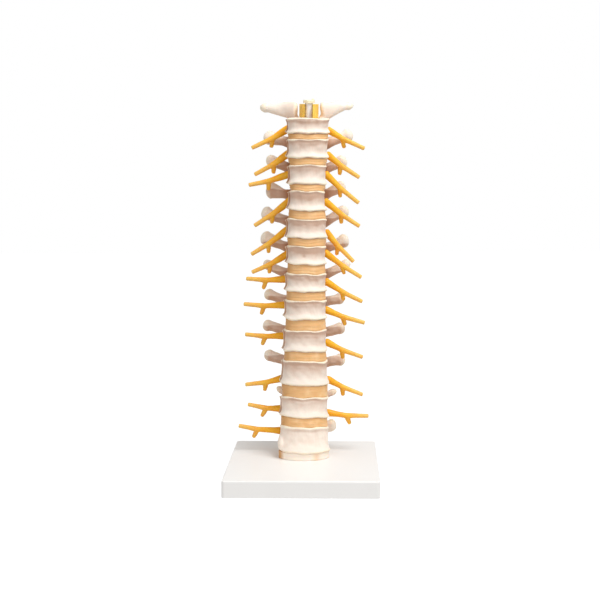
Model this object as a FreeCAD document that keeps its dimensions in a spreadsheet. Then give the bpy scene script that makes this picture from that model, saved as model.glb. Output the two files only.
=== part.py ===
import FreeCAD, Part
import Sketcher
import math
import os

# Thoracic spine anatomy model on a flat stand, in millimetres.
# The origin is the centre of the stand's underside, +Z is up and -Y is the front of the spine.
# Twelve vertebrae are threaded on a support rod that runs up the spinal canal, with a soft disc
# under each, a dural sleeve round the rod and nerve stubs that leave through the foramina.

doc = FreeCAD.newDocument("thoracic_spine")
sheet = doc.addObject("Spreadsheet::Sheet", "Sizes")
levels = range(1, 13)
sides = {"Left": -1, "Right": 1}

singleSizes = {
    # stand
    "baseWidth": 128, "baseDepth": 140, "baseHeight": 14, "baseCorner": 2.5, "baseEdge": 1.2,
    "socketDepth": 6, "counterboreDepth": 5, "counterboreRadius": 6.5, "fitClearance": 0.3,
    # screw and washer under the stand
    "screwRadius": 2, "screwLength": 13, "screwHeadRadius": 3.5, "screwHeadHeight": 3,
    "driverRadius": 1.7, "driverDepth": 1.8, "washerRadius": 5.2, "washerThickness": 1,
    # support rod, its cap and the dural sleeve
    "rodRadius": 3.4, "rodY": 33.2, "rodAboveBody": 12.4, "rodBend": 12, "tappedDepth": 10,
    "capRadius": 5, "capHeight": 2.6, "capRound": 0.9,
    "capPegRadius": 0.9, "capPegHeight": 0.9, "capPegOut": 3.4,
    "sleeveRadius": 8.3, "sleeveAboveBody": 11.4, "sleeveRaise": 2,
    "windowDepth": 17, "windowWidth": 6.9,
    # line of the column, with its angles in degrees from the upright
    "footTilt": -3.2, "topTilt": 4.8, "columnLean": 1.05,
    # features that every vertebra has
    "canalRadius": 8.9, "canalNotch": 1.5, "lipHeight": 1.5, "lipRound": 0.7,
    "waistInset": 2.4, "waistDepthInset": 1.6,
    "pedicleWidth": 6.2, "pedicleHeight": 7.2, "pedicleInset": 0.7, "pedicleDrop": 0.5,
    "pedicleSink": 4.5, "pedicleSunkHeight": 5, "pedicleSunkWidth": 3.7,
    "pedicleRear": 5, "pedicleRearHeight": 6.5, "pedicleRearWidth": 5.6,
    "archTop": 3.4, "archFoot": 5.8, "archLift": 1.5, "archFront": 2.5,
    "facetWidth": 7.6, "facetThickness": 4.6, "facetLength": 13, "facetGap": 0.8,
    "facetFront": 2.9, "facetOverlap": 3.6, "upperFacetOut": 2.5, "lowerFacetOut": 0.6,
    "rootThickness": 8, "rootOut": 12.5, "rootBack": 5.5, "rootRound": 3, "neckShare": 0.55,
    "neckThickness": 6.2, "clubThickness": 8.6, "clubLength": 10.4, "processBack": 11.5,
    "spineRootHeight": 13, "spineRootWidth": 8, "spineRootBack": 11, "spineRootDrop": 1,
    "spineNeckHeight": 8.4, "spineNeckWidth": 4.2,
    "spineTipHeight": 9, "spineTipWidth": 5.6, "spineTipLength": 8,
    # swelling of the lowest vertebra's rim, on its left side
    "swellWidth": 9, "swellDepth": 18, "swellHeight": 15, "swellFront": 2,
    # discs
    "discInset": 0.35, "discBulge": 0.55,
    # nerve stubs
    "nerveGap": 0.3, "rootletRadius": 1.7, "rootletFront": 1, "foramenDrop": 6.6,
    "ganglionRadius": 3.1, "ganglionLength": 9, "ganglionOut": -0.8, "ganglionFront": 4.6,
    "stemRadius": 2.1, "shoulderRadius": 2.8, "kneeRadius": 2.3, "tipRadius": 1.9,
    "forkDip": 1.2, "spurRootRadius": 2.05, "spurRadius": 1.5, "spurBack": 3.2, "spurDown": 7.8,
}

# One value for each vertebra, from T1 at the top to T12 on the stand.
levelSizes = {
    "bodyHeight": [13.2, 16.75, 16.9, 17.55, 17.1, 16.55, 16.25, 17.25, 19.35, 21.8, 18.5, 23.0],
    "discHeight": [4.1, 5.3, 5.0, 6.7, 6.1, 7.4, 6.9, 8.9, 7.5, 10.0, 7.7, 4.3],
    "upperWidth": [37.4, 35.8, 33.0, 31.0, 34.8, 34.4, 35.6, 36.6, 37.8, 39.6, 42.2, 43.4],
    "lowerWidth": [36.6, 35.8, 33.4, 33.6, 35.8, 34.8, 36.2, 37.0, 38.6, 42.6, 42.8, 46.4],
    "bodyDepth": [21.0, 22.0, 23.0, 24.5, 25.5, 26.5, 27.5, 28.5, 29.5, 30.5, 31.0, 32.0],
    "reachLeft": [43.3, 40.0, 37.5, 37.5, 41.5, 42.0, 39.5, 38.5, 39.5, 38.0, 26.5, 24.0],
    "reachRight": [38.5, 38.5, 33.5, 32.5, 35.5, 36.5, 38.0, 33.5, 34.5, 35.0, 28.0, 28.0],
    "riseLeft": [15.0, 9.2, 12.0, 7.3, 11.7, 12.7, 13.1, 9.8, 9.2, 11.2, 10.7, -2.0],
    "riseRight": [17.5, 11.8, 12.0, 11.7, 15.3, 11.3, 14.9, 7.2, 7.8, 7.8, 8.3, 7.0],
    "rootRise": [12.0, 2.4, 2.4, 2.4, 2.4, 2.4, 2.4, 2.4, 2.4, 2.4, 2.4, 2.4],
    "rootHeight": [17.0, 11.4, 11.4, 11.4, 11.4, 11.4, 11.4, 11.4, 11.4, 11.4, 11.4, 11.4],
    "neckHeight": [12.5, 9.0, 8.6, 8.6, 8.6, 8.6, 8.6, 9.2, 9.6, 9.6, 7.0, 8.6],
    "clubLeft": [8.5, 13.4, 12.0, 15.5, 13.5, 14.0, 10.5, 11.2, 11.6, 11.2, 7.0, 9.0],
    "clubRight": [7.5, 11.5, 12.0, 12.5, 11.5, 13.0, 10.5, 10.7, 12.5, 11.6, 7.0, 12.0],
    "spineReach": [33.0, 32.0, 30.5, 29.5, 28.5, 28.0, 28.0, 28.5, 29.0, 29.5, 30.0, 30.0],
    "spineDrop": [5.0, 9.0, 13.0, 17.0, 20.0, 22.0, 22.0, 20.0, 16.0, 13.0, 9.0, 6.5],
}

# Nerve stubs by side: how high the ganglion lies on its body, how far out from the canal the
# fork and the tip lie, how far the tip drops and how far the short branch leans outwards. The
# right side of T12 carries none.
nerveSizes = {
    "ganglionRiseLeft": [-2.8, -5.0, -0.6, -1.8, -2.4, -0.9, 0.5, 1.2, 1.0, -9.0, -6.2, 2.6],
    "nerveReachLeft": [49.0, 46.5, 51.5, 46.5, 49.0, 48.4, 53.5, 55.5, 54.0, 53.5, 51.0, 59.0],
    "nerveDropLeft": [17.0, 18.7, 10.0, 22.0, 22.6, 17.0, 0.1, -0.2, -0.6, 6.3, -3.3, -3.6],
    "forkReachLeft": [30.8, 30.0, 34.0, 30.5, 34.0, 32.6, 35.4, 37.0, 35.4, 34.8, 33.8, 41.7],
    "spurOutLeft": [1.5, 0.2, 0.5, 0.9, 0.0, 0.6, 3.0, 3.0, 3.5, 1.5, 4.9, 4.1],
    "ganglionRiseRight": [-4.0, -6.0, -0.6, -2.1, -4.8, 0.0, -1.3, -2.6, -4.2, -9.4, -9.0],
    "nerveReachRight": [48.4, 44.5, 44.3, 45.4, 40.8, 47.9, 49.1, 51.6, 50.4, 51.0, 56.5],
    "nerveDropRight": [15.2, 19.0, 24.4, 20.9, 25.3, 20.8, 17.2, 11.0, 12.8, 13.0, 2.2],
    "forkReachRight": [29.0, 28.2, 28.0, 29.4, 27.0, 30.4, 31.1, 31.5, 31.9, 32.9, 36.3],
    "spurOutRight": [1.9, -1.0, 0.0, 0.0, -1.1, 2.4, 1.4, 2.9, 0.9, 0.5, 3.7],
}


def fillSheet():
    cells = list(singleSizes.items())
    for name, values in list(levelSizes.items()) + list(nerveSizes.items()):
        cells += [(f"{name}T{level}", value) for level, value in zip(levels, values)]
    for row, (alias, value) in enumerate(cells, start=1):
        sheet.set(f"A{row}", alias)
        sheet.set(f"B{row}", str(value))
        sheet.setAlias(f"B{row}", alias)
    doc.recompute()


def size(alias, level=None):
    return float(sheet.get(alias if level is None else f"{alias}T{level}"))


def vector(x=0, y=0, z=0):
    return FreeCAD.Vector(x, y, z)


up = vector(0, 0, 1)


def placed(point, axis=None, across=None):
    """A placement at a point. Its own z runs along axis, and its own x is nearest to across."""
    if axis is None:
        return FreeCAD.Placement(point, FreeCAD.Rotation())
    turn = FreeCAD.Rotation(across or vector(1, 0, 0), vector(), axis, "ZXY")
    return FreeCAD.Placement(point, turn)


def solid(kind, name, placement, **formulas):
    item = doc.addObject(kind, name)
    item.Placement = placement
    for prop, formula in formulas.items():
        if isinstance(formula, str):
            item.setExpression(prop, formula)
        else:
            setattr(item, prop, formula)
    return item


def cylinder(name, placement, radius, height):
    return solid("Part::Cylinder", name, placement, Radius=radius, Height=height)


def ellipse(name, placement, major, minor):
    """A section whose long axis lies along the placement's own x."""
    return solid("Part::Ellipse", name, placement, MajorRadius=major, MinorRadius=minor)


def loft(name, sections):
    item = doc.addObject("Part::Loft", name)
    item.Sections = sections
    item.Solid = True
    item.Ruled = True
    return item


def spindle(name, root, tip, across, plan):
    """A loft of ellipses along a line. The long axes of its sections lie along across.

    plan lists, for each section, how far along the line it lies and the formulas of its radii.
    """
    axis = (tip - root).normalize()
    sections = [
        ellipse(f"{name}Section{n}", placed(root + axis * far, axis, across), major, minor)
        for n, (far, major, minor) in enumerate(plan)
    ]
    return loft(name, sections)


def bulge(middle, half, major, minor, degrees):
    """Sections of a rounded lump: an ellipsoid cut at angles from its middle."""
    return [
        (middle + half * math.sin(math.radians(angle)),
         f"({major}) * {math.cos(math.radians(angle))}",
         f"({minor}) * {math.cos(math.radians(angle))}")
        for angle in degrees
    ]


def fuse(name, pieces):
    item = doc.addObject("Part::MultiFuse", name)
    item.Shapes = pieces
    return item


def cut(name, base, tool):
    item = doc.addObject("Part::Cut", name)
    item.Base = base
    item.Tool = tool
    return item


fillSheet()

# Line of the column. In the side view it is an arc, hollow to the front, that starts above the
# rod's foot in the stand, and all of it leans a little to one side. Lengths along it count from
# the top of the stand.

footTilt = math.radians(size("footTilt"))
topTilt = math.radians(size("topTilt"))
columnLength = sum(size("bodyHeight", n) + size("discHeight", n) for n in levels)
columnRadius = columnLength / (topTilt - footTilt)
footPoint = vector(0, size("rodY"), size("baseHeight"))
lean = FreeCAD.Placement(vector(), FreeCAD.Rotation(vector(0, 1, 0), size("columnLean")), footPoint)


def columnPlacement(length):
    """Where the canal's centre lies, and how it is turned, at a length along the column."""
    start = footTilt + size("rodBend") / columnRadius
    tilt = footTilt + length / columnRadius
    back = columnRadius * (math.cos(tilt) - math.cos(start))
    rise = columnRadius * (math.sin(tilt) - math.sin(start)) + size("rodBend")
    turn = FreeCAD.Rotation(vector(1, 0, 0), math.degrees(tilt))
    return lean.multiply(FreeCAD.Placement(footPoint + vector(0, back, rise), turn))


def underside(level):
    """Length along the column of the lower plate of a vertebra."""
    below = sum(size("bodyHeight", n) + size("discHeight", n) for n in levels if n > level)
    return below + size("discHeight", level)


def vertebraPlacement(level):
    return columnPlacement(underside(level) + size("bodyHeight", level) / 2)


columnTop = underside(1) + size("bodyHeight", 1)


# Stand


def sketchOn(body, name):
    sketch = body.newObject("Sketcher::SketchObject", name)
    floor = next(item for item in body.Origin.OriginFeatures if item.Role == "XY_Plane")
    sketch.AttachmentSupport = [(floor, "")]
    sketch.MapMode = "FlatFace"
    return sketch


def constrain(sketch, *terms, formula=None):
    index = sketch.addConstraint(Sketcher.Constraint(*terms))
    if formula:
        sketch.setExpression(f"Constraints[{index}]", formula)


def edgesWhere(shape, test):
    """Names of the edges whose lowest and highest z pass a test."""
    names = []
    for index, edge in enumerate(shape.Edges, start=1):
        if test(edge.BoundBox.ZMin, edge.BoundBox.ZMax):
            names.append(f"Edge{index}")
    return names


def makeStand():
    body = doc.addObject("PartDesign::Body", "Stand")
    outline = sketchOn(body, "StandOutline")
    wide, deep = size("baseWidth") / 2, size("baseDepth") / 2
    corners = [vector(-wide, -deep), vector(wide, -deep), vector(wide, deep), vector(-wide, deep)]
    for start, end in zip(corners, corners[1:] + corners[:1]):
        outline.addGeometry(Part.LineSegment(start, end))
    for line in range(4):
        constrain(outline, "Coincident", line, 2, (line + 1) % 4, 1)
        constrain(outline, "Vertical" if line % 2 else "Horizontal", line)
    constrain(outline, "Symmetric", 0, 1, 2, 1, -1, 1)
    constrain(outline, "DistanceX", 0, 1, 0, 2, 2 * wide, formula="Sizes.baseWidth")
    constrain(outline, "DistanceY", 1, 1, 1, 2, 2 * deep, formula="Sizes.baseDepth")
    plate = body.newObject("PartDesign::Pad", "StandPlate")
    plate.Profile = outline
    plate.setExpression("Length", "Sizes.baseHeight")
    doc.recompute()

    top = size("baseHeight")
    corner = body.newObject("PartDesign::Fillet", "StandCorners")
    corner.Base = (plate, edgesWhere(plate.Shape, lambda low, high: high - low > top / 2))
    corner.setExpression("Radius", "Sizes.baseCorner")
    doc.recompute()
    rim = body.newObject("PartDesign::Fillet", "StandRim")
    rim.Base = (corner, edgesWhere(corner.Shape, lambda low, high: low > top / 2))
    rim.setExpression("Radius", "Sizes.baseEdge")
    doc.recompute()

    roundPocket(body, "RodSocket", "Sizes.baseHeight", "Sizes.rodRadius + Sizes.fitClearance",
                "Sizes.socketDepth", upwards=False)
    roundPocket(body, "ScrewHole", "Sizes.baseHeight", "Sizes.screwRadius + Sizes.fitClearance",
                "Sizes.baseHeight", upwards=False)
    roundPocket(body, "Counterbore", "0", "Sizes.counterboreRadius",
                "Sizes.counterboreDepth", upwards=True)
    return body


def roundPocket(body, name, level, radius, depth, upwards):
    """A round hole on the rod's line, cut down from a height or up from the underside."""
    sketch = sketchOn(body, name + "Outline")
    sketch.setExpression("AttachmentOffset.Base.z", level)
    sketch.addGeometry(Part.Circle(vector(0, size("rodY")), up, size("rodRadius")))
    constrain(sketch, "PointOnObject", 0, 3, -2)
    constrain(sketch, "DistanceY", -1, 1, 0, 3, size("rodY"), formula="Sizes.rodY")
    constrain(sketch, "Radius", 0, size("rodRadius"), formula=radius)
    hole = body.newObject("PartDesign::Pocket", name)
    hole.Profile = sketch
    hole.Reversed = upwards
    hole.setExpression("Length", depth)
    doc.recompute()


def washerSeat():
    return vector(0, size("rodY"), size("counterboreDepth") - size("washerThickness"))


def makeScrew():
    """A cap screw whose head sits in the counterbore and whose end is in the rod."""
    foot = placed(washerSeat() - up * size("screwHeadHeight"))
    head = cylinder("ScrewHead", foot, "Sizes.screwHeadRadius", "Sizes.screwHeadHeight")
    shank = cylinder("ScrewShank", foot, "Sizes.screwRadius",
                     "Sizes.screwHeadHeight + Sizes.screwLength")
    driver = solid("Part::Prism", "DriverSocket", foot,
                   Circumradius="Sizes.driverRadius", Height="Sizes.driverDepth")
    driver.Polygon = 6
    return cut("Screw", fuse("ScrewBlank", [head, shank]), driver)


def makeWasher():
    seat = placed(washerSeat())
    plate = cylinder("WasherPlate", seat, "Sizes.washerRadius", "Sizes.washerThickness")
    hole = cylinder("WasherHole", seat, "Sizes.screwRadius + Sizes.fitClearance",
                    "Sizes.washerThickness")
    return cut("Washer", plate, hole)


# Rod, its cap and the dural sleeve


def columnArc(start, end):
    lengths = [start, (start + end) / 2, end]
    return Part.Arc(*[columnPlacement(length).Base for length in lengths]).toShape()


def rodLine():
    """The rod's upright foot in the stand, the bend above it and the column's arc up to T1.

    The bend is a round arc that touches the upright and the column's arc, and its lower end is
    where the sleeve ends, a little above the stand.
    """
    start = 2 * size("rodBend") - size("sleeveRaise")
    joint = columnPlacement(start)
    bend = start - size("rodBend")
    towards = joint.Rotation.multVec(up)
    upright = lean.Rotation.multVec(up)
    corner = joint.Base - towards * bend
    low = corner - upright * bend
    inward = ((low + joint.Base) * 0.5 - corner).normalize()
    middle = corner + inward * (bend * math.tan(towards.getAngle(upright) / 4))
    edge = size("rodRadius") * math.sin(math.radians(size("columnLean")))
    sink = low.z - size("baseHeight") + size("socketDepth") - edge
    foot = Part.makeLine(low - upright * sink, low)
    return foot, Part.Arc(low, middle, joint.Base).toShape(), start


footLine, bendArc, columnStart = rodLine()


def sweep(name, edges, radius):
    """A round bar of a radius along edges that run on from each other."""
    path = doc.addObject("Part::Feature", name + "Path")
    path.Shape = Part.Wire(edges)
    start = path.Shape.Edges[0]
    towards = start.tangentAt(start.FirstParameter)
    ring = solid("Part::Circle", name + "Section",
                 placed(start.valueAt(start.FirstParameter), towards), Radius=radius)
    item = doc.addObject("Part::Sweep", name)
    item.Sections = [ring]
    item.Spine = (path, [f"Edge{n + 1}" for n in range(len(path.Shape.Edges))])
    item.Solid = True
    return item


def makeRod():
    edges = [footLine, bendArc, columnArc(columnStart, columnTop + size("rodAboveBody"))]
    bar = sweep("RodBar", edges, "Sizes.rodRadius")
    foot = placed(footLine.valueAt(footLine.FirstParameter), lean.Rotation.multVec(up))
    bore = cylinder("RodBore", foot, "Sizes.screwRadius + Sizes.fitClearance", "Sizes.tappedDepth")
    return cut("Rod", bar, bore)


def makeCap():
    top = columnPlacement(columnTop + size("rodAboveBody"))
    plate = cylinder("CapPlate", top, "Sizes.capRadius", "Sizes.capHeight")
    peg = cylinder("CapPeg", top.multiply(placed(vector(size("capPegOut"), 0, 0))),
                   "Sizes.capPegRadius", "Sizes.capHeight + Sizes.capPegHeight")
    doc.recompute()
    rims = [n for n, edge in enumerate(plate.Shape.Edges, start=1) if edge.Closed]
    highest = max(rims, key=lambda n: plate.Shape.Edges[n - 1].BoundBox.ZMax)
    rounded = doc.addObject("Part::Fillet", "CapRounded")
    rounded.Base = plate
    rounded.Edges = [(highest, size("capRound"), size("capRound"))]
    return fuse("Cap", [rounded, peg])


def makeSleeve():
    """The dura: a tube round the rod, open to the front at the top so that the rod shows."""
    edges = [bendArc, columnArc(columnStart, columnTop + size("sleeveAboveBody"))]
    outside = sweep("SleeveOutside", edges, "Sizes.sleeveRadius")
    inside = sweep("SleeveInside", edges, "Sizes.rodRadius + Sizes.fitClearance")
    corner = columnPlacement(columnTop + size("sleeveAboveBody") - size("windowDepth"))
    corner = corner.multiply(placed(vector(-size("windowWidth") / 2, -2 * size("sleeveRadius"), 0)))
    window = solid("Part::Box", "SleeveWindow", corner, Length="Sizes.windowWidth",
                   Width="2 * Sizes.sleeveRadius", Height="2 * Sizes.windowDepth")
    return cut("Sleeve", cut("SleeveTube", outside, inside), window)


# Vertebrae. Each is built about the canal's centre at half its body's height, with its front
# towards -Y, and then set in its place on the column.


def bodyBack(level):
    """How far the middle of the body lies in front of the canal's centre."""
    return size("bodyDepth", level) / 2 + size("canalRadius") - size("canalNotch")


def makeCentrum(level, name):
    """A waisted body: flat plates, flared lips under them and a hollow waist between."""
    half = size("bodyHeight", level) / 2
    lip = half - size("lipHeight")
    waist = [(share * lip, 1 - share ** 4) for share in (-1, -0.8, -0.45, 0.45, 0.8, 1)]
    plans = []
    for height, hollow in waist:
        above = (1 + height / half) / 2
        width = f"Sizes.upperWidthT{level} * {above} + Sizes.lowerWidthT{level} * {1 - above}"
        plans.append((height, f"({width}) / 2 - Sizes.waistInset * {hollow}",
                      f"Sizes.bodyDepthT{level} / 2 - Sizes.waistDepthInset * {hollow}"))
    depth = f"Sizes.bodyDepthT{level} / 2 - Sizes.lipRound"
    plans.insert(0, (-half, f"Sizes.lowerWidthT{level} / 2 - Sizes.lipRound", depth))
    plans.append((half, f"Sizes.upperWidthT{level} / 2 - Sizes.lipRound", depth))
    middle = vector(0, -bodyBack(level), 0)
    return spindle(f"{name}Centrum", middle, middle + up, vector(1, 0, 0), plans)


def makeArch(level, name):
    """The two laminae: the back of a ring that widens downwards round the canal."""
    foot = -size("bodyHeight", level) / 2 + size("archLift")
    ring = solid("Part::Cone", f"{name}Ring", placed(vector(0, 0, foot)),
                 Radius1="Sizes.canalRadius + Sizes.archFoot",
                 Radius2="Sizes.canalRadius + Sizes.archTop",
                 Height=f"Sizes.bodyHeightT{level} - Sizes.archLift")
    reach = 2 * (size("canalRadius") + size("archFoot"))
    behind = solid("Part::Box", f"{name}Behind", placed(vector(-reach, size("archFront"), -reach)),
                   Length=2 * reach, Width=2 * reach, Height=2 * reach)
    arch = doc.addObject("Part::Common", f"{name}Arch")
    arch.Base = ring
    arch.Tool = behind
    return arch


def makePedicle(level, name, side):
    """The bridge from the body's back to the arch, beside the canal and under the upper plate."""
    out = side * (size("canalRadius") + size("pedicleWidth") / 2 - size("pedicleInset"))
    rise = (size("bodyHeight", level) - size("pedicleHeight")) / 2 - size("pedicleDrop")
    front = -size("canalRadius") + size("canalNotch") - size("pedicleSink")
    start, end = vector(out, front, rise), vector(out, size("pedicleRear"), rise)
    height, width = "Sizes.pedicleHeight / 2", "Sizes.pedicleWidth / 2"
    plan = [
        (0, "Sizes.pedicleSunkHeight / 2", "Sizes.pedicleSunkWidth / 2"),
        (size("pedicleSink"), height, width),
        (size("pedicleRear") - front, "Sizes.pedicleRearHeight / 2", "Sizes.pedicleRearWidth / 2"),
    ]
    return spindle(name, start, end, up, plan)


def makeRimSwell(level, name):
    """A swelling that fills the hollow of the body's left side just above its lower rim."""
    high = size("swellHeight") / 2
    middle = vector((size("swellWidth") - size("lowerWidth", level)) / 2,
                    -bodyBack(level) - size("swellFront"), high - size("bodyHeight", level) / 2)
    plan = bulge(0, high, "Sizes.swellDepth / 2", "Sizes.swellWidth / 2", (-75, -45, 0, 45, 75))
    return spindle(name, middle, middle + up, vector(0, 1, 0), plan)


def makeFacets(level, name, side):
    """The joint plates. The upper one lies in front of the lower one of the vertebra above.

    Nothing lies under the lowest vertebra, so its lower plates end level with its body.
    """
    half = size("bodyHeight", level) / 2
    above = (size("discHeight", max(level - 1, 1)) + size("facetOverlap")) / 2
    below = (size("discHeight", level) + size("facetOverlap")) / 2 if level < 12 else 0
    thick = size("facetThickness")
    front = size("facetFront") + thick / 2
    reach = size("facetLength") / 2
    spots = {
        "Upper": vector(side * (size("canalRadius") + size("upperFacetOut")), front,
                        half + above - reach),
        "Lower": vector(side * (size("canalRadius") + size("lowerFacetOut")),
                        front + thick + size("facetGap"), reach - half - below),
    }
    plan = bulge(0, reach, "Sizes.facetWidth / 2", "Sizes.facetThickness / 2",
                 (-75, -45, 0, 45, 75))
    return [spindle(f"{name}{which}Facet", spot, spot + up, vector(1, 0, 0), plan)
            for which, spot in spots.items()]


def makeLimb(name, root, tip, start, neck, club):
    """A process with a rounded root, which narrows to its neck and swells into a rounded club.

    start, neck and club each hold the formulas of half the height and half the thickness there,
    and club holds its length first.
    """
    length = (tip - root).Length
    half = club[0] / 2
    plan = bulge(0, size("rootRound"), *start, (-60, -30, 0))
    plan.append((size("neckShare") * (length - club[0]), *neck))
    plan += bulge(length - half, half, *club[1:], (-30, 0, 30, 55, 75))
    return spindle(name, root, tip, up, plan)


def makeTransverse(level, name, label, side):
    root = vector(side * size("rootOut"), size("rootBack"), size("rootRise", level))
    tip = vector(side * size("reach" + label, level), size("processBack"),
                 size("rise" + label, level))
    club = f"Sizes.club{label}T{level}"
    return makeLimb(name, root, tip,
                    (f"Sizes.rootHeightT{level} / 2", "Sizes.rootThickness / 2"),
                    (f"Sizes.neckHeightT{level} / 2", "Sizes.neckThickness / 2"),
                    (size("clubLength"), f"{club} / 2", f"min(Sizes.clubThickness; {club}) / 2"))


def makeSpinous(level, name):
    root = vector(0, size("spineRootBack"), -size("spineRootDrop"))
    tip = vector(0, size("spineReach", level), -size("spineDrop", level))
    return makeLimb(name, root, tip, ("Sizes.spineRootHeight / 2", "Sizes.spineRootWidth / 2"),
                    ("Sizes.spineNeckHeight / 2", "Sizes.spineNeckWidth / 2"),
                    (size("spineTipLength"), "Sizes.spineTipHeight / 2", "Sizes.spineTipWidth / 2"))


def makeVertebra(level):
    name = f"Vertebra{level}"
    bone = [makeCentrum(level, name), makeArch(level, name), makeSpinous(level, f"{name}Spinous")]
    for label, side in sides.items():
        bone.append(makePedicle(level, f"{name}{label}Pedicle", side))
        bone += makeFacets(level, name + label, side)
        bone.append(makeTransverse(level, f"{name}{label}Process", label, side))
    if level == 12:
        bone.append(makeRimSwell(level, f"{name}RimSwell"))
    deep = 2 * size("bodyHeight", level) + size("facetLength")
    canal = cylinder(f"{name}Canal", placed(vector(0, 0, -deep)), "Sizes.canalRadius", 2 * deep)
    vertebra = cut(name, fuse(f"{name}Bone", bone), canal)
    vertebra.Placement = vertebraPlacement(level)
    return vertebra


# Discs


def plateCentre(level, share):
    """The middle of a vertebra's lower plate at share -1, or of its upper plate at share 1."""
    height = share * size("bodyHeight", level) / 2
    return vertebraPlacement(level).multiply(placed(vector(0, -bodyBack(level), height)))


def makeDisc(level):
    """A soft pad that fills the space under a vertebra, notched behind for the canal."""
    name = f"Disc{level}"
    top = plateCentre(level, -1)
    if level < 12:
        bottom = plateCentre(level + 1, 1)
        below = f"upperWidthT{level + 1}", f"bodyDepthT{level + 1}"
    else:
        point = top.Base
        bottom = placed(vector(point.x, point.y, size("baseHeight")))
        below = "lowerWidthT12", "bodyDepthT12"
    above = f"lowerWidthT{level}", f"bodyDepthT{level}"
    rim = "Sizes.{} / 2 - Sizes.lipRound - Sizes.discInset"
    swell = "Sizes.{} / 2 - Sizes.lipRound + Sizes.discBulge"
    sections = []
    for n, (share, pair, formula) in enumerate(
            [(0, below, rim), (0.35, below, swell), (0.65, above, swell), (1, above, rim)]):
        turn = bottom.Rotation.slerp(top.Rotation, share)
        place = FreeCAD.Placement(bottom.Base * (1 - share) + top.Base * share, turn)
        sections.append(ellipse(f"{name}Section{n}", place, *[formula.format(c) for c in pair]))
    middle = FreeCAD.Placement((bottom.Base + top.Base) * 0.5, top.Rotation)
    deep = 2 * size("discHeight", level)
    back = middle.multiply(placed(vector(0, bodyBack(level), -deep)))
    canal = cylinder(name + "Canal", back, "Sizes.canalRadius", 2 * deep)
    return cut(name, loft(name + "Pad", sections), canal)


# Nerve stubs


def roundTube(name, points, spots):
    """A round tube through points, whose sections halve its bends. spots holds, for each
    section, the number of the run that it lies on, how far along that run and its radius."""
    runs = [(end - start).normalize() for start, end in zip(points, points[1:])]
    rings = []
    for count, (run, far, radius) in enumerate(spots):
        towards = runs[run] + (runs[run - 1] if far == 0 and run else runs[run])
        rings.append(solid("Part::Circle", f"{name}Ring{count}",
                           placed(points[run] + runs[run] * far, towards, vector(0, 1, 0)),
                           Radius=radius))
    return loft(name, rings)


def makeNerve(level, label, side):
    """A root from the dura, a ganglion beside the body, then a stem that forks near its middle."""
    name = f"Nerve{level}{label}"
    half = size("bodyHeight", level) / 2
    opening = half - size("pedicleHeight") - size("rootletRadius") - size("foramenDrop")
    root = vector(0, -size("rootletFront"), opening)
    rise = size("ganglionRise" + label, level)
    beside = size("lowerWidth", level) / 2 + size("ganglionOut")
    ganglion = vector(side * beside, -size("ganglionFront"), rise)
    reach = size("nerveReach" + label, level)
    tip = vector(side * reach, -size("ganglionFront"), rise - size("nerveDrop" + label, level))
    share = (size("forkReach" + label, level) - beside) / (reach - beside)
    fork = ganglion + (tip - ganglion) * share - up * size("forkDip")
    swell = size("ganglionLength") / 2
    line = roundTube(f"{name}Line", [root, ganglion, fork, tip], [
        (0, size("sleeveRadius") / 2, "Sizes.rootletRadius"),
        (0, (ganglion - root).Length - swell, "Sizes.stemRadius"),
        (1, 0, "Sizes.ganglionRadius"),
        (1, swell, "Sizes.shoulderRadius"),
        (2, 0, "Sizes.kneeRadius"),
        (2, (tip - fork).Length, "Sizes.tipRadius"),
    ])
    spur = vector(side * size("spurOut" + label, level), size("spurBack"), -size("spurDown"))
    branch = solid("Part::Cone", f"{name}Spur", placed(fork, spur), Height=spur.Length,
                   Radius1="Sizes.spurRootRadius", Radius2="Sizes.spurRadius")
    deep = (ganglion - root).Length
    dura = cylinder(f"{name}Dura", placed(vector(0, 0, opening - deep)),
                    "Sizes.sleeveRadius + Sizes.nerveGap", 2 * deep)
    nerve = cut(name, fuse(f"{name}Stub", [line, branch]), dura)
    nerve.Placement = vertebraPlacement(level)
    return nerve


def makePieces():
    """Every piece of the model by its node name."""
    pieces = {
        "base_plate": makeStand(), "fixing_screw": makeScrew(), "screw_washer": makeWasher(),
        "support_rod": makeRod(), "rod_cap": makeCap(), "dural_sleeve": makeSleeve(),
    }
    for level in levels:
        pieces[f"vertebra_t{level}"] = makeVertebra(level)
        pieces["foot_disc" if level == 12 else f"disc_t{level}"] = makeDisc(level)
        for label, side in sides.items():
            if f"nerveReach{label}T{level}" in aliases:
                node = f"nerve_t{level}_{label.lower()}"
                pieces[node] = makeNerve(level, label, side)
    return pieces


aliases = {f"{name}T{level}" for name in nerveSizes
           for level in range(1, 1 + len(nerveSizes[name]))}
pieces = makePieces()
for node, piece in pieces.items():
    piece.Label = node
doc.recompute()

failed = [item.Name for item in doc.Objects if {"Invalid", "Error"} & set(item.State)]
for node, piece in pieces.items():
    shape = piece.Shape
    if shape.isNull() or not shape.isValid() or len(shape.Solids) != 1:
        failed.append(node)
if failed:
    raise RuntimeError("these did not build: " + ", ".join(failed))

os.makedirs("parts", exist_ok=True)
for node, piece in pieces.items():
    piece.Shape.exportStep(f"parts/{node}.step")
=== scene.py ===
import bpy
import math
import numpy as np
from mathutils import Matrix, Vector


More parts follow.
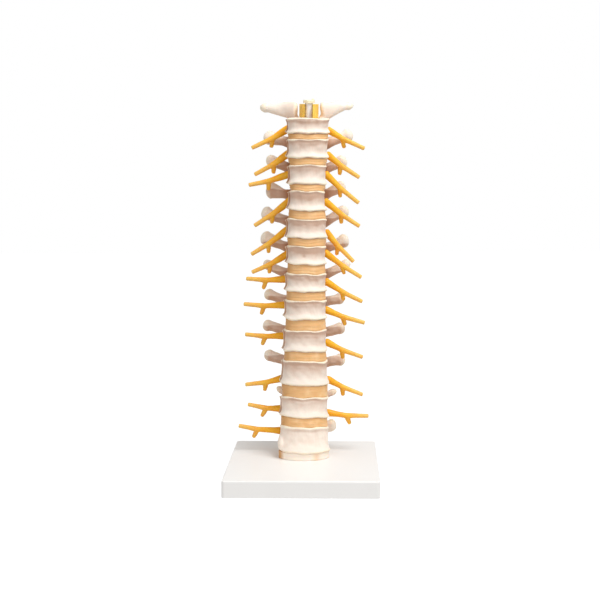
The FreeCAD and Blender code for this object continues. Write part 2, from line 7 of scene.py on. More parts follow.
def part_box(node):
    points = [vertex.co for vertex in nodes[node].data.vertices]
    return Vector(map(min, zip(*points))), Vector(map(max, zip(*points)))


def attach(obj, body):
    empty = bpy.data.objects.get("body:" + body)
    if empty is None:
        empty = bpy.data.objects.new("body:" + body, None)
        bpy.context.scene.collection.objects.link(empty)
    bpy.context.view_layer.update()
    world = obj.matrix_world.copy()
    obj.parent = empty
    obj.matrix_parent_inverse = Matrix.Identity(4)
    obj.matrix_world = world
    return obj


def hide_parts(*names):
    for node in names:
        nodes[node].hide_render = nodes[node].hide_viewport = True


# A life-size thoracic spine on a white stand: twelve vertebrae, their discs, a dural sleeve round
# the rod and the nerve stubs. Everything is in metres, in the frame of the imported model.

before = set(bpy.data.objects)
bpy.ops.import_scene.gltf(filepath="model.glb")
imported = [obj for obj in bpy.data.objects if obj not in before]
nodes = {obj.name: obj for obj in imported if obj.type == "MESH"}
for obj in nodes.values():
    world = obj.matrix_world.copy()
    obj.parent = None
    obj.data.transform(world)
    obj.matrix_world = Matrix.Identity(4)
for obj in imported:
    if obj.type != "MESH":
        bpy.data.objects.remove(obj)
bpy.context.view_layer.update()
lowest = 12
levels = range(1, lowest + 1)
print("frame loaded,", len(nodes), "nodes")


# Camera

cameraSet = {
    "place": (0.0320, -0.9343, 0.2529),                # fitted to the stand's corners in the photograph
    "yaw": -2.092, "pitch": 6.114, "roll": -0.334,     # degrees
    "lens": 66.29, "sensor": 36,                       # millimetres
    "nearest": 0.05, "farthest": 20,
}


def addCamera():
    yaw, pitch, roll = (math.radians(cameraSet[key]) for key in ("yaw", "pitch", "roll"))
    ahead = Vector((math.sin(yaw) * math.cos(pitch), math.cos(yaw) * math.cos(pitch),
                    -math.sin(pitch)))
    level = Vector((math.cos(yaw), -math.sin(yaw), 0))
    above = level.cross(ahead)
    right = level * math.cos(roll) + above * math.sin(roll)
    upward = above * math.cos(roll) - level * math.sin(roll)
    lens = bpy.data.cameras.new("camera")
    lens.lens, lens.sensor_width = cameraSet["lens"], cameraSet["sensor"]
    lens.clip_start, lens.clip_end = cameraSet["nearest"], cameraSet["farthest"]
    camera = bpy.data.objects.new("camera", lens)
    turn = Matrix((right, upward, -ahead)).transposed().to_4x4()
    camera.matrix_world = Matrix.Translation(cameraSet["place"]) @ turn
    bpy.context.scene.collection.objects.link(camera)
    bpy.context.scene.camera = camera


addCamera()
print("camera set")


# Materials

class Value:
    # A socket that takes part in arithmetic: an expression on values adds its Math nodes.
    def __init__(self, finish, socket):
        self.finish, self.socket = finish, socket

    def maths(self, operation, *terms):
        return self.finish.node("ShaderNodeMath", {"operation": operation},
                                dict(enumerate(terms)))

    def __add__(self, other):
        return self.maths("ADD", self, other)

    def __sub__(self, other):
        return self.maths("SUBTRACT", self, other)

    def __rsub__(self, other):
        return self.maths("SUBTRACT", other, self)

    def __mul__(self, other):
        return self.maths("MULTIPLY", self, other)

    __radd__, __rmul__ = __add__, __mul__

    def clipped(self):
        return self.finish.node("ShaderNodeClamp", {}, {"Value": self})

    def between(self, low, high):
        # 0 below low, 1 above high and a smooth step from one to the other
        return self.finish.node("ShaderNodeMapRange", {"interpolation_type": "SMOOTHSTEP"},
                                {"Value": self, "From Min": low, "From Max": high})


class Finish:
    # A material being built on one Principled shader.
    def __init__(self, name, **constants):
        self.material = bpy.data.materials.new(name)
        self.material.use_nodes = True
        self.tree = self.material.node_tree
        self.shader = self.tree.nodes["Principled BSDF"]
        for socket, value in constants.items():
            self.shader.inputs[socket.replace("_", " ")].default_value = value

    def node(self, kind, settings, inputs, output=0):
        made = self.tree.nodes.new(kind)
        for setting, value in settings.items():
            setattr(made, setting, value)
        for key, value in inputs.items():
            self.feed(made, key, value)
        return Value(self, made.outputs[output])

    def feed(self, made, key, value):
        if isinstance(key, int):
            socket = made.inputs[key]
        else:
            socket = next(s for s in made.inputs if key in (s.identifier, s.name))
        if isinstance(value, Value):
            self.tree.links.new(value.socket, socket)
        elif isinstance(value, tuple) and len(value) == 3 and socket.type == "RGBA":
            socket.default_value = value + (1,)
        else:
            socket.default_value = value

    def place(self, scale=(1, 1, 1)):
        # Object coordinates, stretched along each axis
        spot = self.node("ShaderNodeTexCoord", {}, {}, "Object")
        return self.node("ShaderNodeMapping", {}, {"Vector": spot, "Scale": scale})

    def noise(self, where, scale, detail=3, roughness=0.55):
        return self.node("ShaderNodeTexNoise", {}, {"Vector": where, "Scale": scale,
                         "Detail": detail, "Roughness": roughness}, "Fac")

    def drawn(self, attribute):
        return self.node("ShaderNodeAttribute", {"attribute_name": attribute}, {}, "Fac")

    def mix(self, factor, first, second):
        return self.node("ShaderNodeMix", {"data_type": "RGBA"}, {"Factor_Float": factor,
                         "A_Color": first, "B_Color": second}, "Result")

    def set(self, socket, value):
        self.feed(self.shader, socket, value)

    def bump(self, height, distance):
        self.set("Normal", self.node("ShaderNodeBump", {}, {"Height": height, "Distance": distance}))


def colour(red, green, blue):
    # an sRGB colour, as read off a screen, in the linear light that shaders take
    return tuple(((c / 255 + 0.055) / 1.055) ** 2.4 for c in (red, green, blue))


boneColours = {
    # the pinkish blush is painted shade, deep is painted shade in the deepest hollows, rim is a painted
    # cream highlight and brown is painted shade in the nooks
    "bone": colour(251, 237, 223), "shadeColour": colour(209, 174, 151), "deep": colour(166, 112, 78),
    "rim": colour(255, 241, 214), "nookShade": colour(172, 112, 68),
    "grain": 900, "mottle": 110, "grainDepth": 0.00005, "mottleDepth": 2,
    "hollowShare": 0.6, "washShare": 0.9, "mottleShare": 0.4,     # what the painted shade is made of
    "nookShadeShare": 0.6, "nookShadeMottle": 0.6,
    "deepFrom": (0.8, 1.4), "rimFrom": (0.4, 0.9), "rimShare": 0.85,
    "smooth": 0.38, "roughened": 0.16,
    "inward": (1.0, 0.6, 0.45),
}


def boneFinish():
    # painted shade in the hollows and under the lips, a painted cream highlight on the rims, painted
    # brown shade in the nooks behind
    look = boneColours
    made = Finish("bone", Specular_IOR_Level=0.35, Subsurface_Weight=0.1, Subsurface_Scale=0.002,
                  Subsurface_Radius=look["inward"])
    hollow, wash, behind = (made.drawn(name) for name in ("hollow", "wash", "behind"))
    where = made.place()
    mottle = made.noise(where, look["mottle"])
    speckle = made.noise(where, look["grain"], detail=2)
    # painted shade, from the hollow mask and from the mask of downward surfaces and the upper part of
    # each body
    shade = hollow * look["hollowShare"] + wash * look["washShare"]
    shade = (shade + (mottle - 0.5) * look["mottleShare"]).clipped()
    tone = made.mix(shade, look["bone"], look["shadeColour"])
    # painted shade: brown in the nooks behind the body
    nook = behind * (look["nookShadeShare"] + look["nookShadeMottle"] * mottle)
    tone = made.mix(nook, tone, look["nookShade"])
    # painted shade: the deep tone in the deepest hollows
    tone = made.mix(hollow.between(*look["deepFrom"]), tone, look["deep"])
    # painted highlight: cream on raised rims and edges
    raised = (0 - hollow).between(*look["rimFrom"])
    tone = made.mix(raised * look["rimShare"], tone, look["rim"])
    made.set("Base Color", tone)
    made.set("Roughness", look["smooth"] + look["roughened"] * speckle)
    made.bump(speckle + look["mottleDepth"] * mottle, look["grainDepth"])
    return made.material


discColours = {
    "tan": colour(247, 199, 142), "dark": colour(222, 166, 104), "pale": colour(252, 216, 168),
    "peach": colour(252, 236, 220), "shade": colour(206, 148, 84),
    "streak": 1500, "streakStretch": (0.05, 0.05, 1), "streakDepth": 0.00008, "patch": 120,
    "streakShare": 1.1, "patchShare": 0.5, "darkShare": 0.25,     # of the tan over the dark
    "paleFrom": (0.5, 0.8), "paleShare": 0.5,
    "smooth": 0.36, "roughened": 0.2,
    "inward": (1.0, 0.5, 0.2),
}


def discFinish():
    # level streaks of two tans with paler patches, and painted shade down the left side
    look = discColours
    made = Finish("disc", Specular_IOR_Level=0.4, Subsurface_Weight=0.15, Subsurface_Scale=0.002,
                  Subsurface_Radius=look["inward"])
    streak = made.noise(made.place(look["streakStretch"]), look["streak"], detail=2)
    patch = made.noise(made.place(), look["patch"], detail=2)
    light = streak * look["streakShare"] + patch * look["patchShare"] - look["darkShare"]
    tone = made.mix(light.clipped(), look["dark"], look["tan"])
    tone = made.mix(patch.between(*look["paleFrom"]) * look["paleShare"], tone, look["pale"])
    tone = made.mix(made.drawn("shade"), tone, look["shade"])
    tone = made.mix(made.drawn("peach"), tone, look["peach"])
    made.set("Base Color", tone)
    made.set("Roughness", look["smooth"] + look["roughened"] * streak)
    made.bump(streak, look["streakDepth"])
    return made.material


nerveColours = {
    "orange": colour(255, 190, 36), "deep": colour(254, 172, 20), "light": colour(255, 214, 110),
    "end": colour(240, 200, 118),
    "mottle": 160, "orangeFrom": (0.3, 0.7),
    "fibre": 1100, "fibreStretch": (0.15, 1, 1), "fibreFrom": (0.55, 0.85), "fibreShare": 0.6,
    "fibreDepth": 0.00006, "smooth": 0.3, "roughened": 0.16,
    "inward": (1.0, 0.5, 0.1), "duraPaler": 0.7,
}


def nerveFinish(name="nerve", paler=0.0):
    # mottled orange with lighter fibres along the stubs, paler at the cut ends
    look = nerveColours
    made = Finish(name, Specular_IOR_Level=0.35, Subsurface_Weight=0.2, Subsurface_Scale=0.0025,
                  Subsurface_Radius=look["inward"])
    mottle = made.noise(made.place(), look["mottle"], detail=2)
    fibre = made.noise(made.place(look["fibreStretch"]), look["fibre"], detail=2)
    tone = made.mix(mottle.between(*look["orangeFrom"]), look["deep"], look["orange"])
    tone = made.mix(fibre.between(*look["fibreFrom"]) * look["fibreShare"], tone, look["light"])
    tone = made.mix(made.drawn("end"), tone, look["end"])
    if paler:
        tone = made.mix(paler, tone, look["light"])
    made.set("Base Color", tone)
    made.set("Roughness", look["smooth"] + look["roughened"] * fibre)
    made.bump(fibre + mottle, look["fibreDepth"])
    return made.material


standColours = {
    "cloudy": colour(243, 241, 238), "white": colour(247, 245, 242), "cloud": 30,
    "peel": 700, "peelDepth": 0.00004, "smooth": 0.3, "roughened": 0.1,
}


def standFinish():
    # satin white with a faint peel
    look = standColours
    made = Finish("stand", Specular_IOR_Level=0.45)
    peel = made.noise(made.place(), look["peel"], detail=2)
    cloud = made.noise(made.place(), look["cloud"], detail=2)
    made.set("Base Color", made.mix(cloud, look["cloudy"], look["white"]))
    made.set("Roughness", look["smooth"] + look["roughened"] * peel)
    made.bump(peel, look["peelDepth"])
    return made.material


plainSet = {"grain": 1200, "grainDepth": 0.00003, "darker": 0.9, "roughened": 0.12}


def plainFinish(name, tone, roughness, metallic=0.0):
    # one tone with a fine grain that varies it and its roughness a little
    made = Finish(name, Metallic=metallic)
    grain = made.noise(made.place(), plainSet["grain"])
    made.set("Base Color", made.mix(grain, tone, tuple(plainSet["darker"] * c for c in tone)))
    varied = plainSet["roughened"]
    made.set("Roughness", roughness - varied / 2 + varied * grain)
    made.bump(grain, plainSet["grainDepth"])
    return made.material


finishes = {
    "bone": boneFinish(), "disc": discFinish(), "nerve": nerveFinish(),
    "dura": nerveFinish("dura", nerveColours["duraPaler"]), "stand": standFinish(),
    "rod": plainFinish("rod", colour(240, 246, 255), roughness=0.3),
    "cap": plainFinish("cap", colour(250, 240, 206), roughness=0.4),
    "steel": plainFinish("steel", colour(190, 190, 194), roughness=0.3, metallic=1.0),
}
print("materials made")


# Surfaces

weld = 1e-7     # corners nearer than this are one
tiny = 1e-9     # the least length that a vector is divided by


def cleanCopy(node):
    # vertices and triangles of a CAD node, with the loose triangles' shared corners merged
    mesh = nodes[node].data
    corners = np.empty(len(mesh.vertices) * 3)
    mesh.vertices.foreach_get("co", corners)
    corners = corners.reshape(-1, 3)
    mesh.calc_loop_triangles()
    faces = np.empty(len(mesh.loop_triangles) * 3, dtype=np.int64)
    mesh.loop_triangles.foreach_get("vertices", faces)
    points, first = np.unique(np.round(corners / weld).astype(np.int64), axis=0,
                              return_inverse=True)
    faces = first.reshape(-1)[faces].reshape(-1, 3)
    keep = ((faces[:, 0] != faces[:, 1]) & (faces[:, 1] != faces[:, 2])
            & (faces[:, 2] != faces[:, 0]))
    return points * weld, faces[keep]


def newObject(name, points, faces):
    mesh = bpy.data.meshes.new(name)
    mesh.from_pydata(points.tolist(), [], faces.tolist())
    made = bpy.data.objects.new(name, mesh)
    bpy.context.scene.collection.objects.link(made)
    return made


def remeshed(piece, voxel):
    # one even skin over everything that the piece holds
    even = piece.modifiers.new("even", "REMESH")
    even.mode, even.voxel_size = "VOXEL", voxel
    view = bpy.context.evaluated_depsgraph_get()
    skin = bpy.data.meshes.new_from_object(piece.evaluated_get(view))
    piece.modifiers.clear()
    old = piece.data
    piece.data = skin
    bpy.data.meshes.remove(old)
    return skin


def pointsOf(mesh):
    found = np.empty(len(mesh.vertices) * 3)
    mesh.vertices.foreach_get("co", found)
    return found.reshape(-1, 3)


def edgesOf(mesh):
    found = np.empty(len(mesh.edges) * 2, dtype=np.int64)
    mesh.edges.foreach_get("vertices", found)
    return found.reshape(-1, 2)


def normalsOf(mesh):
    found = np.empty(len(mesh.vertices) * 3)
    mesh.vertices.foreach_get("normal", found)
    return found.reshape(-1, 3)


def smoothed(values, edges, rounds, share=0.5):
    # each round moves every value by a share of the way to its neighbours' mean
    count = len(values)
    ends = np.concatenate([edges[:, 0], edges[:, 1]])
    others = np.concatenate([edges[:, 1], edges[:, 0]])
    degree = np.maximum(np.bincount(ends, minlength=count), 1)
    flat = values.reshape(count, -1).astype(float)
    for turn in range(rounds):
        mean = np.stack([np.bincount(ends, weights=column[others], minlength=count)
                         for column in flat.T], axis=1) / degree[:, None]
        flat = flat + share * (mean - flat)
    return flat.reshape(values.shape)


def setPoints(mesh, points):
    mesh.vertices.foreach_set("co", points.astype(np.float32).ravel())
    mesh.update()


def drawAttribute(mesh, name, values):
    layer = mesh.attributes.new(name, "FLOAT", "POINT")
    layer.data.foreach_set("value", values.astype(np.float32))


waveSet = {"count": 8, "lengths": (0.7, 1.6)}


def waves(points, pitch, seed):
    # smooth lumps of about a pitch: a sum of sine waves in random directions, mostly within 1
    dice = np.random.default_rng(seed)
    total = np.zeros(len(points))
    for turn in range(waveSet["count"]):
        way = dice.normal(size=3)
        way /= np.linalg.norm(way)
        length = pitch * dice.uniform(*waveSet["lengths"])
        total += np.sin(points @ way * (2 * math.pi / length) + dice.uniform(0, 2 * math.pi))
    return total * 2 / waveSet["count"]


def finishPiece(piece, node, slot):
    piece.data.shade_smooth()
    piece.data.materials.clear()
    piece.data.materials.append(finishes[slot])
    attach(piece, "root")
    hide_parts(node)


# Shape shared by vertebrae and discs

columnSet = {
    "sway": 0.0006, "swayPitch": 0.017, "swayStretch": (1, 1, 0.45), "swaySeed": 7,
    "seatFade": 0.006,     # height over the stand at which the sway is whole
    "core": 0.005,         # reach from the axis in which a body's plates are measured
}
discNodes = {level: f"disc_t{level}" if level < lowest else "foot_disc" for level in levels}
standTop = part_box("base_plate")[1][2]


def swayed(points):
    # rims that wander up and down: one slow wave through the column, gone where it meets the stand
    field = waves(points * columnSet["swayStretch"], columnSet["swayPitch"], columnSet["swaySeed"])
    fade = np.clip((points[:, 2] - standTop) / columnSet["seatFade"], 0, 1)
    moved = points.copy()
    moved[:, 2] += columnSet["sway"] * field * fade
    return moved


def middleOf(node):
    low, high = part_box(node)
    return (np.array(low) + np.array(high)) / 2


def axisOf(level):
    # from the middle of the disc under a body to that of the disc above it, and for T1, which has
    # none above, as for the body under it
    upper, lower = (level - 1, level) if level > 1 else (level, level + 1)
    return middleOf(discNodes[upper]) - middleOf(discNodes[lower])


def alongBody(level, points):
    # height on the body, from -1 on its lower plate to 1 on its upper one, and the way out
    # from its axis, which runs through the middles of the discs
    below = middleOf(discNodes[level])
    axis = axisOf(level)
    axis /= np.linalg.norm(axis)
    along = (points - below) @ axis
    out = points - below - along[:, None] * axis
    core = along[np.linalg.norm(out, axis=1) < columnSet["core"]]
    return 2 * (along - core.min()) / (core.max() - core.min()) - 1, out


def unit(vectors):
    return vectors / np.maximum(np.linalg.norm(vectors, axis=1), tiny)[:, None]


def hill(values, middle, width):
    # a bell curve of height 1
    return np.exp(-((values - middle) / width) ** 2)


def step(values, low, high):
    # 0 below low, 1 above high and a smooth rise between
    share = np.clip((values - low) / (high - low), 0, 1)
    return share * share * (3 - 2 * share)


# Vertebrae
# Middles, widths and edges on a body are heights from -1 to 1, or parts of a direction of length 1.

boneSet = {
    "voxel": 0.00062, "rounding": 8, "normalRounds": 4,
    "lump": 0.007, "lumpHeight": 0.00015,
    "nick": 0.0024, "nickHeight": 0.00004, "nickSeed": 40,
    "front": (-0.35, 0.05), "lowerPlate": (-1, -0.86), "upperPlate": (0.94, 1.02),
    "flare": 0.0009, "flareMiddle": -0.66, "flareWidth": 0.4,
    "groove": 0.0007, "grooveMiddle": 0.72, "grooveWidth": 0.16, "grooveFade": 0.8,
    "sides": 0.0011, "sidesMiddle": 0.2, "sidesWidth": 0.55, "sidesFrom": (0.6, 0.95),
    "swellReach": 0.012, "swellRounds": 160,
}
# the left side wall stands out and gets painted shade, with a painted cream highlight along its front
# edge and along the right side
wallSet = {
    "depth": 0.0031, "within": 0.026, "from": (0.08, 0.22),
    "left": (0.55, 0.8), "lower": (-1.02, -0.75), "upper": (0.72, 1.0),
    "right": (0.75, 0.9), "rightLower": (-0.9, -0.7), "rightShare": 0.8, "border": 0.05,
    "wallShade": (0.02, 0.35), "lastUpper": 6, "upperNookShade": 0.9, "lowerNookShade": 0.6,
}
# the painted shade: in hollows, in pits, on surfaces that look down and under the upper lip
shadeSet = {
    "hollowRounds": 40, "hollowDepth": 0.0007, "hollowSpan": (-1, 1.5), "pitShade": 0.5,
    "underShare": 1.3, "highShare": 0.85, "highFrom": (-0.7, 0.85), "highTo": (0.86, 1.0),
    "most": 1.3, "bladeUnshaded": 0.85, "bladeFrom": (0.011, 0.016),
}
# where the nooks behind and beside the body get painted brown shade
nookSet = {
    "reach": (0.0165, 0.0255), "behind": (0.004, 0.011), "back": (0.022, 0.03),
    "rightShare": 0.65, "firstShare": 0.2,
}
frontPits = {     # small casting pits: place across, height on the body, radius and depth
    5: (-0.0015, 0.45, 0.001, 0.0003), 6: (-0.002, -0.1, 0.0016, 0.0003),
    7: (0.001, 0.5, 0.0018, 0.0004), 11: (-0.0095, 0.95, 0.0009, 0.0006),
}
shadeLevels = {     # how much of the painted shade the vertebrae have that differ from the others
    4: 1.9, 5: 1.4, 6: 1.6, 7: 1.2, 8: 1.1, 9: 1.25, 10: 1.25, 11: 0.85, 12: 0.35,
}


def frontPush(height, way, front):
    # the body flares slowly to its lower rim, is hollowed just under its upper one and has fuller
    # sides: flare - groove + fuller, each a bell curve over the height
    sides = step(np.abs(way[:, 0]), *boneSet["sidesFrom"])
    flare = boneSet["flare"] * hill(height, boneSet["flareMiddle"], boneSet["flareWidth"])
    groove = boneSet["groove"] * hill(height, boneSet["grooveMiddle"], boneSet["grooveWidth"])
    groove *= 1 - boneSet["grooveFade"] * sides
    fuller = boneSet["sides"] * sides * hill(height, boneSet["sidesMiddle"], boneSet["sidesWidth"])
    between = step(height, *boneSet["lowerPlate"]) * (1 - step(height, *boneSet["upperPlate"]))
    return (flare - groove + fuller) * (front * between)


def sideWall(level, height, way, reach):
    # how far the left side, which the camera sees past the front, stands out, from 0 to 1, and the
    # painted highlight, a cream border, along its front edge and along the right side
    onBody = reach < wallSet["within"]
    left = step(height, *wallSet["lower"]) * (1 - step(height, *wallSet["upper"]))
    left *= step(-way[:, 0], *wallSet["left"]) * onBody * (level < lowest)
    wall = left * step(way[:, 1], *wallSet["from"])
    edge, width = wallSet["from"][0], wallSet["border"]
    # painted highlight: the cream border
    border = left * hill(way[:, 1], edge - width, width)
    right = step(way[:, 0], *wallSet["right"]) * step(height, *wallSet["rightLower"]) * onBody
    border += wallSet["rightShare"] * right * hill(way[:, 1], edge, width)
    return wall, border


def bodyShaped(level, points):
    # the skin moved along its way out from the axis, the height on the body, and where the skin gets
    # the wall's painted shade and the border's painted highlight
    height, out = alongBody(level, points)
    way = unit(out)
    front = step(-way[:, 1], *boneSet["front"])
    wall, border = sideWall(level, height, way, np.linalg.norm(out, axis=1))
    push = frontPush(height, way, front) + wallSet["depth"] * wall
    if level in frontPits:
        across, spot, radius, depth = frontPits[level]
        rise = (height - spot) * np.linalg.norm(axisOf(level)) / 2
        pit = hill(np.hypot(out[:, 0] - across, rise), 0, radius) * front
        push -= depth * pit
        # painted shade in the pit
        border -= shadeSet["pitShade"] * pit
    return points + way * push[:, None], height, step(wall, *wallSet["wallShade"]), border


def swellSoftened(points, edges):
    # the swelling low on the left of T12 runs smoothly into the body round it
    middle = middleOf(discNodes[lowest])
    beside = np.where(np.abs(points[:, 1] - middle[1]) < boneSet["swellReach"], points[:, 0], 1)
    spot = points[beside.argmin()]
    near = hill(np.linalg.norm(points - spot, axis=1), 0, boneSet["swellReach"])[:, None]
    return points + near * (smoothed(points, edges, boneSet["swellRounds"]) - points)


def hollowOf(points, normals, edges):
    # how deep each point lies under its smoothed surroundings, 1 for the hollow depth
    wide = smoothed(points, edges, shadeSet["hollowRounds"])
    return np.einsum("ij,ij->i", wide - points, normals) / shadeSet["hollowDepth"]


def shadeAmountOf(level, points, normals, height):
    # painted shade where a surface looks down and on the upper part of the body
    under = np.clip(-shadeSet["underShare"] * normals[:, 2], 0, 1)
    high = step(height, *shadeSet["highFrom"]) * (1 - step(height, *shadeSet["highTo"]))
    wash = (under + shadeSet["highShare"] * high) * shadeLevels.get(level, 1.0)
    wash = np.clip(wash, 0, shadeSet["most"])
    if level == 1:     # the broad blades of T1 get almost none of the painted shade
        back = points[:, 1] - middleOf(discNodes[level])[1]
        wash *= 1 - shadeSet["bladeUnshaded"] * step(back, *shadeSet["bladeFrom"])
    return wash


def behindOf(level, points):
    # painted brown shade, 1 in the nooks behind the body and beside it, falling to 0 further out
    middle = middleOf(discNodes[level])
    near = 1 - step(np.abs(points[:, 0] - middle[0]), *nookSet["reach"])
    back = points[:, 1] - middle[1]
    nook = near * step(back, *nookSet["behind"]) * (1 - step(back, *nookSet["back"]))
    nook *= np.where(points[:, 0] > middle[0], nookSet["rightShare"], 1)
    return nook * (nookSet["firstShare"] if level == 1 else 1)


def makeBone(level):
    # the CAD vertebra with one even skin, its body shaped further, lumps and nicks all over, and the
    # masks of painted shade and painted highlight that its colours need
    node = f"vertebra_t{level}"
    bone = newObject(f"bone_t{level}", *cleanCopy(node))
    skin = remeshed(bone, boneSet["voxel"])
    edges = edgesOf(skin)
    points = smoothed(pointsOf(skin), edges, boneSet["rounding"])
    points, height, wall, border = bodyShaped(level, points)
    if level == lowest:
        points = swellSoftened(points, edges)
    setPoints(skin, points)
    lumps = waves(points, boneSet["lump"], level) * boneSet["lumpHeight"]
    nicks = waves(points, boneSet["nick"], boneSet["nickSeed"] + level) * boneSet["nickHeight"]
    out = lumps + nicks - boneSet["lumpHeight"]
    points = swayed(points + normalsOf(skin) * out[:, None])
    setPoints(skin, points)
    normals = normalsOf(skin)
    # painted shade where the skin lies deep in a hollow or pit, a painted highlight where it is raised
    # or on the cream border
    hollow = hollowOf(points, normals, edges) - border
    # painted shade on surfaces that look down and under the upper lip
    wash = shadeAmountOf(level, points, smoothed(normals, edges, boneSet["normalRounds"]), height)
    # painted brown shade on the side wall, more on the upper vertebrae
    nookShade = wallSet["upperNookShade"] if level <= wallSet["lastUpper"] else wallSet["lowerNookShade"]
    drawAttribute(skin, "hollow", np.clip(hollow, *shadeSet["hollowSpan"]))
    # the side wall gets painted shade here and painted brown shade below
    drawAttribute(skin, "wash", np.maximum(wash, wall))
    drawAttribute(skin, "behind", np.maximum(behindOf(level, points), nookShade * wall))
    finishPiece(bone, node, "bone")
    return len(skin.polygons)


boneFaces = sum(makeBone(level) for level in levels)
print("vertebrae made,", 2 * boneFaces, "triangles")


# Nerve stubs

nerveSet = {
    "voxel": 0.00047, "rounding": 10, "lump": 0.007, "lumpHeight": 0.00006,
    "branch": 0.0068, "web": 0.0007, "webReach": 0.0032,     # the fork lies a branch over its end
    "stouter": 0.0003, "branchWithin": (0.004, 0.007), "branchUnder": (0.0025, 0.004),
    "rootOut": 0.0005, "rootReach": (0.017, 0.030),
    "endLength": 0.0015, "fadeLength": 0.028, "fade": 0.6,
}


def growthOf(points):
    # growth at the fork, along the short branch, whose end lies farthest under the chord of the
    # stub, and at the root
    across = np.abs(points[:, 0])
    root, tip = points[across.argmin()], points[across.argmax()]
    slope = (tip[2] - root[2]) / (tip[0] - root[0])
    under = root[2] + slope * (points[:, 0] - root[0]) - points[:, 2]
    end = points[under.argmax()]
    fork = end + (0, 0, nerveSet["branch"])
    web = nerveSet["web"] * hill(np.linalg.norm(points - fork, axis=1), 0, nerveSet["webReach"])
    near = 1 - step(np.linalg.norm(points - end, axis=1), *nerveSet["branchWithin"])
    branch = nerveSet["stouter"] * near * step(under, *nerveSet["branchUnder"])
    thick = nerveSet["rootOut"] * (1 - step(across, *nerveSet["rootReach"]))
    return web + branch + thick


def makeNerve(node):
    # the CAD stub with a webbed fork and low lumps, paler towards its tip and most at the cut end
    nerve = newObject(node.replace("nerve", "stub"), *cleanCopy(node))
    skin = remeshed(nerve, nerveSet["voxel"])
    points = smoothed(pointsOf(skin), edgesOf(skin), nerveSet["rounding"])
    setPoints(skin, points)
    out = waves(points, nerveSet["lump"], len(points)) * nerveSet["lumpHeight"] + growthOf(points)
    setPoints(skin, points + normalsOf(skin) * out[:, None])
    reach = np.abs(points[:, 0])
    left = reach.max() - reach
    fade = nerveSet["fade"] * (1 - step(left, 0, nerveSet["fadeLength"]))
    drawAttribute(skin, "end", np.maximum(fade, 1 - step(left, 0, nerveSet["endLength"])))
    finishPiece(nerve, node, "nerve")
    return len(skin.polygons)


nerveFaces = sum(makeNerve(node) for node in sorted(nodes) if node.startswith("nerve"))
print("nerve stubs made,", 2 * nerveFaces, "triangles")


# Discs

discSet = {
    "voxel": 0.00064, "rounding": 2, "front": (-0.5, 0.0),
    "inset": 0.0013, "rimOut": 0.0008, "rimFrom": (0.35, 0.9),
    "ply": 0.00004, "plies": 2.6, "press": 0.0004,
    "shade": 0.75, "shadeFrom": (0.7, 1.0),
    "peachFrom": (-0.0205, -0.016), "patchPlace": 0.0115, "patchWidth": 0.003, "patchShare": 0.45,
}


def peachOf(points):
    # the foot disc is peach but for its left end and a patch at its right
    peach = step(points[:, 0], *discSet["peachFrom"])
    patch = hill(points[:, 0], discSet["patchPlace"], discSet["patchWidth"])
    return peach * (1 - discSet["patchShare"] * patch)


def makeDisc(level):
    # a pad a little inside the bones, fuller at its rims, with a few level plies round its side
    node = discNodes[level]
    disc = newObject(node.replace("disc", "pad"), *cleanCopy(node))
    skin = remeshed(disc, discSet["voxel"])
    points = smoothed(pointsOf(skin), edgesOf(skin), discSet["rounding"])
    setPoints(skin, points)
    side = 1 - np.abs(normalsOf(skin)[:, 2])
    middle = middleOf(node)
    height = (points[:, 2] - middle[2]) / (np.ptp(points[:, 2]) / 2)
    way = unit((points - middle) * (1, 1, 0))
    push = discSet["rimOut"] * step(np.abs(height), *discSet["rimFrom"]) - discSet["inset"]
    push += discSet["ply"] * np.cos(height * math.pi * discSet["plies"])
    push *= side * step(-way[:, 1], *discSet["front"])
    points = points + way * push[:, None]
    pressedLow = -1 if level < lowest else 0     # the foot disc isn't pressed into the stand
    points[:, 2] += discSet["press"] * np.clip(height, pressedLow, 1)
    setPoints(skin, swayed(points))
    drawAttribute(skin, "peach", peachOf(points) if level == lowest else np.zeros(len(points)))
    # painted shade down each disc's left side
    drawAttribute(skin, "shade", discSet["shade"] * step(-way[:, 0], *discSet["shadeFrom"]))
    finishPiece(disc, node, "disc")
    return len(skin.polygons)


discFaces = sum(makeDisc(level) for level in levels)
print("discs made,", 2 * discFaces, "triangles")


# Pieces that keep their CAD shape

keptPieces = {
    "base_plate": "stand", "support_rod": "rod", "rod_cap": "cap", "dural_sleeve": "dura",
    "fixing_screw": "steel", "screw_washer": "steel",
}
for node, slot in keptPieces.items():
    nodes[node].data.materials.clear()
    nodes[node].data.materials.append(finishes[slot])
print("CAD pieces finished")


# Floor, lamps and background

studio = {
    "floorSize": 6, "floorDrop": 0.0002, "sky": 0.57, "lampAim": (0, 0, 0.16),
    "keyPlace": (0.48, -0.5, 1.28), "keySize": 0.6, "keyPower": 12.6,
    "fillPlace": (-0.4, -1.3, 0.5), "fillSize": 0.9, "fillPower": 2.3,
    "shadowShare": 0.4, "paperWhite": 1.53, "paperTone": 0.55,
}


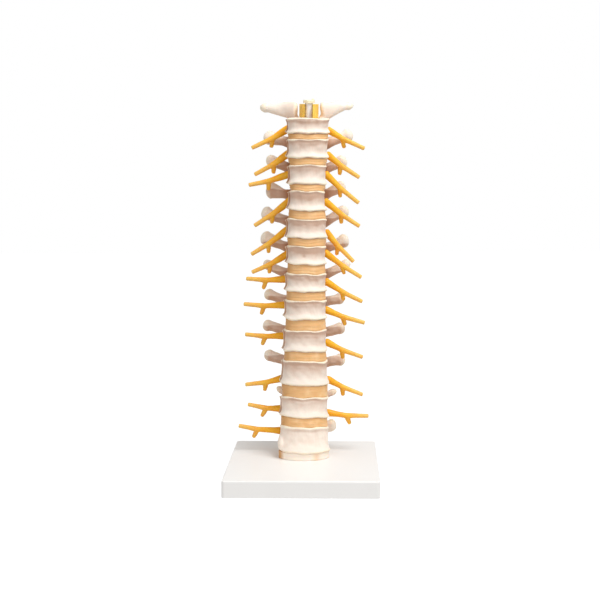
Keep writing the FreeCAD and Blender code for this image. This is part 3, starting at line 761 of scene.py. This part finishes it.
def addFloor():
    # white paper: it glows to the camera, in reflections and through glass, and takes part of
    # its shade from the lamps, so that the stand has a soft shadow
    half = studio["floorSize"] / 2
    square = np.array([(-1, -1), (1, -1), (1, 1), (-1, 1)]) * half
    points = np.column_stack([square, np.full(4, -studio["floorDrop"])])
    floor = newObject("floor", points, np.array([(0, 1, 2, 3)]))
    paper = Finish("floor", Roughness=0.9, Specular_IOR_Level=0.0)
    tree = paper.tree
    paper.shader.inputs["Base Color"].default_value = (studio["paperTone"],) * 3 + (1,)
    white = tree.nodes.new("ShaderNodeEmission")
    white.inputs["Color"].default_value = (1, 1, 1, 1)
    white.inputs["Strength"].default_value = studio["paperWhite"]
    seen, shiny, through = (paper.node("ShaderNodeLightPath", {}, {}, f"Is {ray} Ray")
                            for ray in ("Camera", "Glossy", "Transmission"))
    share = (seen + shiny + through).clipped() * (1 - studio["shadowShare"])
    blend = tree.nodes.new("ShaderNodeMixShader")
    tree.links.new(share.socket, blend.inputs[0])
    tree.links.new(paper.shader.outputs[0], blend.inputs[1])
    tree.links.new(white.outputs[0], blend.inputs[2])
    tree.links.new(blend.outputs[0], tree.nodes["Material Output"].inputs["Surface"])
    floor.data.materials.append(paper.material)


def addLamp(name, place, width, power):
    lamp = bpy.data.lights.new(name, "AREA")
    lamp.size, lamp.energy = width, power
    holder = bpy.data.objects.new(name, lamp)
    ahead = Vector(studio["lampAim"]) - Vector(place)
    turn = ahead.to_track_quat("-Z", "Y").to_matrix().to_4x4()
    holder.matrix_world = Matrix.Translation(place) @ turn
    bpy.context.scene.collection.objects.link(holder)


def addWorld():
    # an even sky that the camera, and rays through glass, see as plain white
    world = bpy.data.worlds.new("studio")
    world.use_nodes = True
    tree = world.node_tree
    sky = tree.nodes["Background"]
    sky.inputs["Color"].default_value = (1, 1, 1, 1)
    path = tree.nodes.new("ShaderNodeLightPath")
    seen = tree.nodes.new("ShaderNodeMath")
    seen.operation = "MAXIMUM"
    tree.links.new(path.outputs["Is Camera Ray"], seen.inputs[0])
    tree.links.new(path.outputs["Is Transmission Ray"], seen.inputs[1])
    strength = tree.nodes.new("ShaderNodeMapRange")
    strength.inputs["To Min"].default_value = studio["sky"]
    strength.inputs["To Max"].default_value = 1.0
    tree.links.new(seen.outputs[0], strength.inputs["Value"])
    tree.links.new(strength.outputs["Result"], sky.inputs["Strength"])
    bpy.context.scene.world = world


addFloor()
addLamp("key", studio["keyPlace"], studio["keySize"], studio["keyPower"])
addLamp("fill", studio["fillPlace"], studio["fillSize"], studio["fillPower"])
addWorld()
bpy.context.scene.view_settings.view_transform = "Standard"
print("studio lit")
